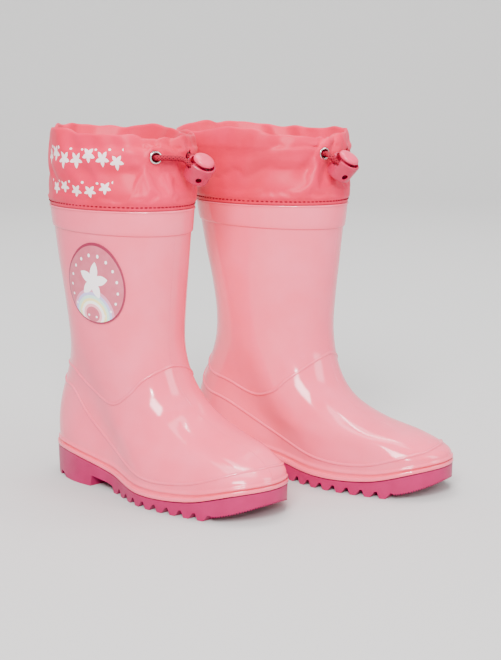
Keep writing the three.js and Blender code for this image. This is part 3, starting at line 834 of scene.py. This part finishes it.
def collar_frame(angle, grow, height):
    """A place on the collar and the way it faces. The angle is from straight ahead to the outer side."""
    turn = math.pi - angle
    lift = height - SHAFT_TOP
    tangent = collar_point(turn + 0.03, grow, lift) - collar_point(turn - 0.03, grow, lift)
    return collar_point(turn, grow, lift), Vector((-tangent.y, tangent.x, 0)).normalized()


def eyelet_frame(which):
    return collar_frame(which * EYELET_SPREAD, EYELET_GROW, EYELET_HEIGHT)


def eyelet_matrix(which):
    place, outward = eyelet_frame(which)
    return Matrix.Translation(place) @ Vector((0, 0, 1)).rotation_difference(outward).to_matrix().to_4x4()


def fold(boot, angle):
    """How far the gathers stand out at an angle, from -1 to 1 or so."""
    return sum(size * math.sin(count * angle + phase) for count, size, phase in FOLDS[boot])


def flare(boot, angle):
    """How far the open edge leans outwards at an angle, in millimetres."""
    return sum(
        size * max(math.cos(angle - math.radians(middle)), 0) ** power
        for middle, size, power in FLARES[boot]
    )


def section_place(part):
    """Where a part (0 to 1) of the section's length lies, counted in its points."""
    length = part * SECTION_LENGTH[-1]
    for i, (low, high) in enumerate(zip(SECTION_LENGTH, SECTION_LENGTH[1:])):
        if length <= high:
            return i + (length - low) / (high - low)
    return len(SECTION_LENGTH) - 1


def shift(boot, angle, lift):
    """How far the gathers and the lean move the cloth, and the cord inside it, outwards."""
    loose = smoothstep(lift, 6, 30) * (1 - 0.55 * math.exp(-(((lift - CORD_LIFT) / 4) ** 2)))
    gather = 1.1 * loose * fold(boot, angle + 0.012 * (lift - 20))
    return gather + smoothstep(lift, 18, 46) * flare(boot, angle)


def cloth_shape(boot, u, v):
    """The folded collar before it settles."""
    angle = u * 2 * math.pi
    place = section_place(v)
    grow = along(SECTION_GROW, place) - CLOTH / 2
    lift = along(SECTION_LIFT, place)
    crest = smoothstep(lift, 30, 47)
    behind = smoothstep(math.cos(angle), -0.9, 0.4)
    rise = crest * (6.5 * behind + 1.3 * math.sin(3 * angle + 1) + 0.8 * fold(boot, angle + 0.2))
    return collar_point(angle, grow + shift(boot, angle, lift), lift + rise)


def near_eyelet(point, reach):
    gaps = []
    for which in (1, -1):
        place, outward = eyelet_frame(which)
        away = point - place
        if abs(away.dot(outward)) < 2.5:
            gaps.append((away - outward * away.dot(outward)).length)
    return bool(gaps) and min(gaps) < reach


def settle(piece, held, furthest):
    """Lets the cloth crease and sag a little, with the held points fixed."""
    rest = [vertex.co.copy() for vertex in piece.data.vertices]
    group = piece.vertex_groups.new(name="held")
    for index, weight in enumerate(held):
        if weight > 0:
            group.add([index], weight, "REPLACE")
    cloth = piece.modifiers.new("settling", "CLOTH")
    cloth.settings.quality = 6
    cloth.settings.mass = 0.08
    cloth.settings.tension_stiffness = 25
    cloth.settings.compression_stiffness = 25
    cloth.settings.shear_stiffness = 12
    cloth.settings.bending_stiffness = 0.4
    cloth.settings.shrink_min = -0.03
    cloth.settings.vertex_group_mass = "held"
    cloth.settings.pin_stiffness = 1
    cloth.settings.effector_weights.gravity = 0.15
    cloth.collision_settings.use_collision = False
    cloth.point_cache.frame_end = SETTLING_STEPS
    for step in range(1, SETTLING_STEPS + 1):
        SCENE.frame_set(step)
    settled = piece.evaluated_get(bpy.context.evaluated_depsgraph_get()).to_mesh()
    moved = [vertex.co.copy() for vertex in settled.vertices]
    piece.modifiers.remove(cloth)
    piece.vertex_groups.remove(group)
    for vertex, start, end, limit in zip(piece.data.vertices, rest, moved, furthest):
        shift = end - start
        if shift.length > limit * MM:
            shift = shift.normalized() * limit * MM
        vertex.co = start + shift
    SCENE.frame_set(1)


def add_collar(boot):
    width, height = COLLAR_FLAT[0] / MM, COLLAR_FLAT[1] / MM
    bm = mapped_grid(COLLAR_AROUND, COLLAR_UP, lambda u, v: cloth_shape(boot, u, v), width, height)
    bmesh.ops.remove_doubles(bm, verts=bm.verts, dist=0.001)
    bm.verts.ensure_lookup_table()
    held = []
    furthest = []
    for vertex in bm.verts:
        lift = vertex.co.z - SHAFT_TOP
        fixed = lift < 3.2 or near_eyelet(vertex.co, 6.5)
        held.append(1.0 if fixed else 0.0)
        near_cord = 1 - smoothstep(abs(lift - CORD_LIFT), 3, 9)
        furthest.append(0.0 if fixed else 0.8 + 2.4 * smoothstep(lift, 10, 30) * (1 - near_cord))
    piece = add_piece(bm, "nylon_collar", boot, NYLON, body=None)
    settle(piece, held, furthest)
    open_eyelets(piece, boot)
    thickness = piece.modifiers.new("cloth", "SOLIDIFY")
    thickness.thickness = CLOTH * MM
    thickness.offset = -1
    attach(piece, f"{boot}_boot")
    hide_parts(f"{boot}_collar")


def open_eyelets(piece, boot):
    """Punches the cloth for the eyelets."""
    to_boot = boot_matrix(boot).inverted()
    bm = bmesh.new()
    bm.from_mesh(piece.data)
    punched = []
    for which in (1, -1):
        place, outward = eyelet_frame(which)
        for vertex in bm.verts:
            away = to_boot @ vertex.co - place
            depth = away.dot(outward)
            across = away - outward * depth
            if abs(depth) > 2.5 or across.length > PUNCH + 0.6:
                continue
            if across.length < PUNCH - 0.6:
                punched.append(vertex)
            else:
                vertex.co = to_boot.inverted() @ (place + across.normalized() * PUNCH + outward * depth)
    bmesh.ops.delete(bm, geom=punched, context="VERTS")
    bm.to_mesh(piece.data)
    bm.free()


def add_stitches(boot):
    """A row of lockstitches above the upper's top edge."""
    count = 104
    parts = []
    for i in range(count):
        angle = 2 * math.pi * (i + 0.5) / count
        here = skin_point(TOP_ROW, angle, 1.5, 2.6)
        ahead = skin_point(TOP_ROW, angle + 0.01, 1.5, 2.6)
        stitch = bmesh.new()
        bmesh.ops.create_icosphere(stitch, subdivisions=1, radius=1)
        turn = (ahead - here).to_track_quat("X", "Z").to_matrix().to_4x4()
        stitch.transform(Matrix.Translation(here) @ turn @ Matrix.Diagonal((1.25, 0.42, 0.42, 1)))
        parts.append(stitch)
    add_piece(joined(parts), "seam_stitches", boot, THREAD_YARN)


# ---------------------------------------------------------------- eyelets and washers
def add_eyelets(boot):
    flange = [(3.15, 0.4), (3.7, 0.45), (4.0, 0.62), (4.05, 0.85)]
    flange += [(3.85, 1.05), (3.45, 1.15), (3.05, 1.12)]
    profile = [(2.8, -2), (3.05, -2), (3.15, -1.85), *flange, (2.85, 0.9)]
    washer = [(3.6, -2), (4.2, -2), (4.3, -1.85), (4.2, -1.6), (3.9, -1.55), (3.6, -1.6)]
    for which, letter in ((1, "a"), (-1, "b")):
        matrix = eyelet_matrix(which)
        for shape, name in ((profile, "eyelet"), (washer, "washer")):
            add_piece(
                turned(shape, 40, matrix), f"{name}_ring_{letter}", boot, NICKEL,
                sharp=50, replaces=[f"{name}_{letter}"],
            )


# ---------------------------------------------------------------- cord lock
CUP_HEIGHT = 13.4
CUP_RADIUS = 9.2
CUP_FOOT = 8.2
CUP_WALL = 1.1
CORD_LEVEL = 10.6
LOCK_PLACE = Vector((-12, FOOT_LENGTH / 2 - 120.5, 211.5))  # the cup's middle
LOCK_TURN = Matrix.Rotation(math.radians(36), 4, "X")
LOCK = Matrix.Translation(LOCK_PLACE) @ LOCK_TURN @ Matrix.Translation((0, 0, -CUP_HEIGHT / 2))


def lock_point(azimuth, radius, height):
    a = math.radians(azimuth)
    return Vector((math.sin(a) * radius, -math.cos(a) * radius, height))


def add_lock(boot):
    wall = [
        (0, 0), (5.5, 0), (CUP_FOOT - 0.8, 0.4), (CUP_FOOT - 0.2, 1.1), (CUP_FOOT, 2.2),
        (CUP_RADIUS, CUP_HEIGHT - 2), (CUP_RADIUS, CUP_HEIGHT - 0.5), (CUP_RADIUS - 0.5, CUP_HEIGHT),
        (CUP_RADIUS - CUP_WALL, CUP_HEIGHT), (CUP_RADIUS - CUP_WALL, CUP_HEIGHT - 2),
        (CUP_FOOT - CUP_WALL + 0.4, 2), (0, 2),
    ]
    cutters = []
    for side in (1, -1):
        for rise in (0, 2.4, 4.8):
            low = lock_point(side * 98, 6.5, CORD_LEVEL + rise)
            cutters.append(rod(low, lock_point(side * 122, 12.2, CORD_LEVEL + rise), 3))
        cutters.append(rod(lock_point(side * 32, 5, 5), lock_point(side * 32, 11, 5), 2))
    cup = turned(wall, 64, Matrix.Identity(4))
    for cutter in cutters:
        cup = combined(cup, cutter, "DIFFERENCE")
    cup.transform(LOCK)
    piece = add_piece(
        cup, "lock_cup", boot, CUP_PLASTIC, body="lock", sharp=30, replaces=["lock_body"]
    )
    soften(piece, 0.22)
    cap = [
        (0, 4.4), (2.0, 4.4), (2.0, 6.3), (7.2, 6.3), (7.2, 8.0), (3.7, 8.4), (3.7, 13.8), (6.4, 14.2),
        (6.85, 14.55), (7.0, 15.0), (7.0, 15.6), (6.75, 16.3), (6.2, 16.9), (5.4, 17.3), (4.0, 17.62),
        (2.2, 17.82), (0, 17.9),
    ]
    add_piece(
        turned(cap, 64, LOCK), "lock_cap", boot, CAP_PLASTIC, body="button", sharp=35,
        replaces=["lock_button"],
    )


def add_spring(boot):
    turns = 3
    points = []
    for i in range(turns * 24 + 1):
        a = i / 24 * 2 * math.pi
        points.append(LOCK @ Vector((3.4 * math.cos(a), 3.4 * math.sin(a), 2.75 + 2.8 * i / (turns * 24))))
    spring = add_piece(
        sweep(points, lambda turn, length: 0.35, 8, False), "lock_coil", boot, NICKEL, body="lock",
        replaces=["lock_spring"],
    )
    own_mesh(spring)


# ---------------------------------------------------------------- drawcord
HEM_STEPS = 24
HEM_START = 178.5  # degrees from straight ahead, at the back of the fold
HEM_END = 34
WAIST_TURN = 5.9  # radius of the cord's turn round the button's waist
SQUEEZED_DROP = -0.25  # of the squeezed cord in the lock


def cord_in_fold(boot, which):
    """From the back of the fold to an eyelet, on one side of the collar."""
    points = []
    for i in range(HEM_STEPS + 1):
        angle = which * math.radians(HEM_START + (HEM_END - HEM_START) * i / HEM_STEPS)
        aside = shift(boot, math.pi - angle, CORD_LIFT) * smoothstep(HEM_STEPS - i, 0, 3)
        points.append(collar_frame(angle, -1 + aside, EYELET_HEIGHT)[0])
    place, outward = eyelet_frame(which)
    sideways = Vector((-outward.y, outward.x, 0)) * which
    for beside, out in ((5, -4.4), (2, -4.2), (0.5, -2.8), (0, -0.8), (0, 1.2), (-0.3, 2.9)):
        points.append(place + sideways * beside + outward * out)
    return points


def cord_route(boot):
    turn = [(127, 12.2, 0.4), (118, 9, 0.1), (98, 6.5, -0.1)]
    turn += [(azimuth, WAIST_TURN, SQUEEZED_DROP) for azimuth in (64, 32, 0)]
    back = [(-azimuth, radius, rise) for azimuth, radius, rise in reversed(turn[:-1])]
    in_lock = []
    for azimuth, radius, rise in turn + back:
        in_lock.append(LOCK @ lock_point(azimuth, radius, CORD_LEVEL + rise))
    return cord_in_fold(boot, 1) + in_lock + list(reversed(cord_in_fold(boot, -1)))


def braid(turn, length, squeezed):
    """A cord's radius where two bundles cross: rounded diamonds, squeezed inside the lock."""
    around = turn * BRAID_ENDS
    lay = length / BRAID_LAY * BRAID_ENDS * 2 * math.pi
    ridge = abs(math.sin((around + lay) / 2)) * abs(math.sin((around - lay) / 2))
    return CORD / 2 - 0.12 + 0.26 * ridge - 0.28 * squeezed


def add_drawcord(boot):
    path = smooth_path(cord_route(boot), 0.5)
    turn_middle = LOCK @ lock_point(0, WAIST_TURN, CORD_LEVEL + SQUEEZED_DROP)
    nearest = min(range(len(path)), key=lambda i: (path[i] - turn_middle).length)
    middle_length = sum((b - a).length for a, b in zip(path[:nearest], path[1 : nearest + 1]))

    def radius(turn, length):
        return braid(turn, length, 1 - smoothstep(abs(length - middle_length), 11, 14))

    bm = sweep(path, radius, 20, False)
    piece = add_piece(
        bm, "braided_drawcord", boot, CORD_YARN, body=None, replaces=["drawcord"]
    )
    middle = (eyelet_frame(1)[0] + eyelet_frame(-1)[0]) / 2
    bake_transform(piece)


# ---------------------------------------------------------------- badge
BADGE_TURN = math.radians(107)
BADGE_HALF_TURN = math.radians(29)
BADGE_ROW = 9.42
BADGE_HALF_ROWS = 0.95
BADGE_TILT = math.radians(2)


def add_badge(boot):
    bm = bmesh.new()
    layer = bm.loops.layers.uv.new("surface")
    bmesh.ops.create_grid(bm, x_segments=48, y_segments=48, size=1)
    for vertex in bm.verts:
        x, y = vertex.co.x, vertex.co.y
        vertex.co = (x * math.sqrt(1 - y * y / 2), y * math.sqrt(1 - x * x / 2), 0)
    for face in bm.faces:
        for loop in face.loops:
            # The toe side of the badge is to the right of it as it is worn.
            loop[layer].uv = (loop.vert.co.x * SIDES[boot] * -1, loop.vert.co.y)
    for vertex in bm.verts:
        x, y = vertex.co.x, vertex.co.y
        turn = BADGE_TURN + BADGE_HALF_TURN * x + BADGE_TILT * y
        edge = smoothstep(math.hypot(x, y), 0.9, 1.0)
        vertex.co = skin_point(BADGE_ROW + BADGE_HALF_ROWS * y, turn, 1.15 - 0.3 * edge)
    bmesh.ops.recalc_face_normals(bm, faces=bm.faces)
    bm.faces.ensure_lookup_table()
    middle = bm.faces[len(bm.faces) // 2]
    if middle.normal.x < 0:
        bmesh.ops.reverse_faces(bm, faces=bm.faces)
    bmesh.ops.solidify(bm, geom=bm.faces, thickness=0.5)
    add_piece(bm, "printed_badge", boot, BADGE_PRINT, sharp=60, replaces=["badge"])


# ---------------------------------------------------------------- stage and light
def add_stage():
    """A pale floor that curves up all round into a wall."""
    profile = [(0.0, 0.0), (2.0, 0.0)]
    profile += [(2.0 + 1.2 * math.sin(a), 1.2 - 1.2 * math.cos(a)) for a in steps(0, math.pi / 2, 16)[1:]]
    profile.append((3.2, 3.2))
    bm = bmesh.new()
    rim = [bm.verts.new((radius, 0, height)) for radius, height in profile]
    edges = [bm.edges.new(pair) for pair in zip(rim, rim[1:])]
    bmesh.ops.spin(
        bm, geom=rim + edges, cent=(0, 0, 0), axis=(0, 0, 1), angle=2 * math.pi, steps=96, use_merge=True
    )
    bmesh.ops.remove_doubles(bm, verts=bm.verts, dist=0.0001)
    bmesh.ops.recalc_face_normals(bm, faces=bm.faces)
    bmesh.ops.reverse_faces(bm, faces=bm.faces)
    mesh = bpy.data.meshes.new("studio_floor")
    bm.to_mesh(mesh)
    bm.free()
    mesh.shade_smooth()
    mesh.materials.append(FLOOR_PAINT)
    floor = bpy.data.objects.new("studio_floor", mesh)
    SCENE.collection.objects.link(floor)


def add_light(name, place, target, size, power):
    data = bpy.data.lights.new(name, "AREA")
    data.shape = "RECTANGLE"
    data.size, data.size_y = size
    data.energy = power
    light = bpy.data.objects.new(name, data)
    light.location = place
    light.rotation_euler = (Vector(target) - Vector(place)).to_track_quat("-Z", "Y").to_euler()
    SCENE.collection.objects.link(light)


def add_lights():
    world = bpy.data.worlds.new("studio")
    SCENE.world = world
    world.use_nodes = True
    background = world.node_tree.nodes["Background"]
    background.inputs["Color"].default_value = linear("#f4f4f6")
    background.inputs["Strength"].default_value = 1.05
    middle = (0, 0, 0.1)
    add_light("key_softbox", (-1.5, -0.9, 1.5), middle, (0.8, 1.0), 92)
    add_light("fill_softbox", (0.6, -1.7, 1.0), middle, (0.7, 1.1), 18)
    add_light("top_softbox", (0.2, 0.3, 2.2), middle, (1.4, 1.4), 36)
    add_light("wall_softbox", (0.5, 0.4, 2.4), (2.6, 2.2, 0.9), (1.2, 0.6), 80)
    add_light("small_lamp", (-1.35, -1.35, 0.95), middle, (0.14, 0.14), 12)


# ---------------------------------------------------------------- the pair
for boot_name in PLACES:
    add_drawcord(boot_name)
    add_upper(boot_name)
    add_beads(boot_name)
    add_outsole(boot_name)
    add_lining(boot_name)
    add_insole(boot_name)
    add_collar(boot_name)
    add_stitches(boot_name)
    add_eyelets(boot_name)
    add_lock(boot_name)
    add_spring(boot_name)
    add_badge(boot_name)
add_stage()
add_lights()
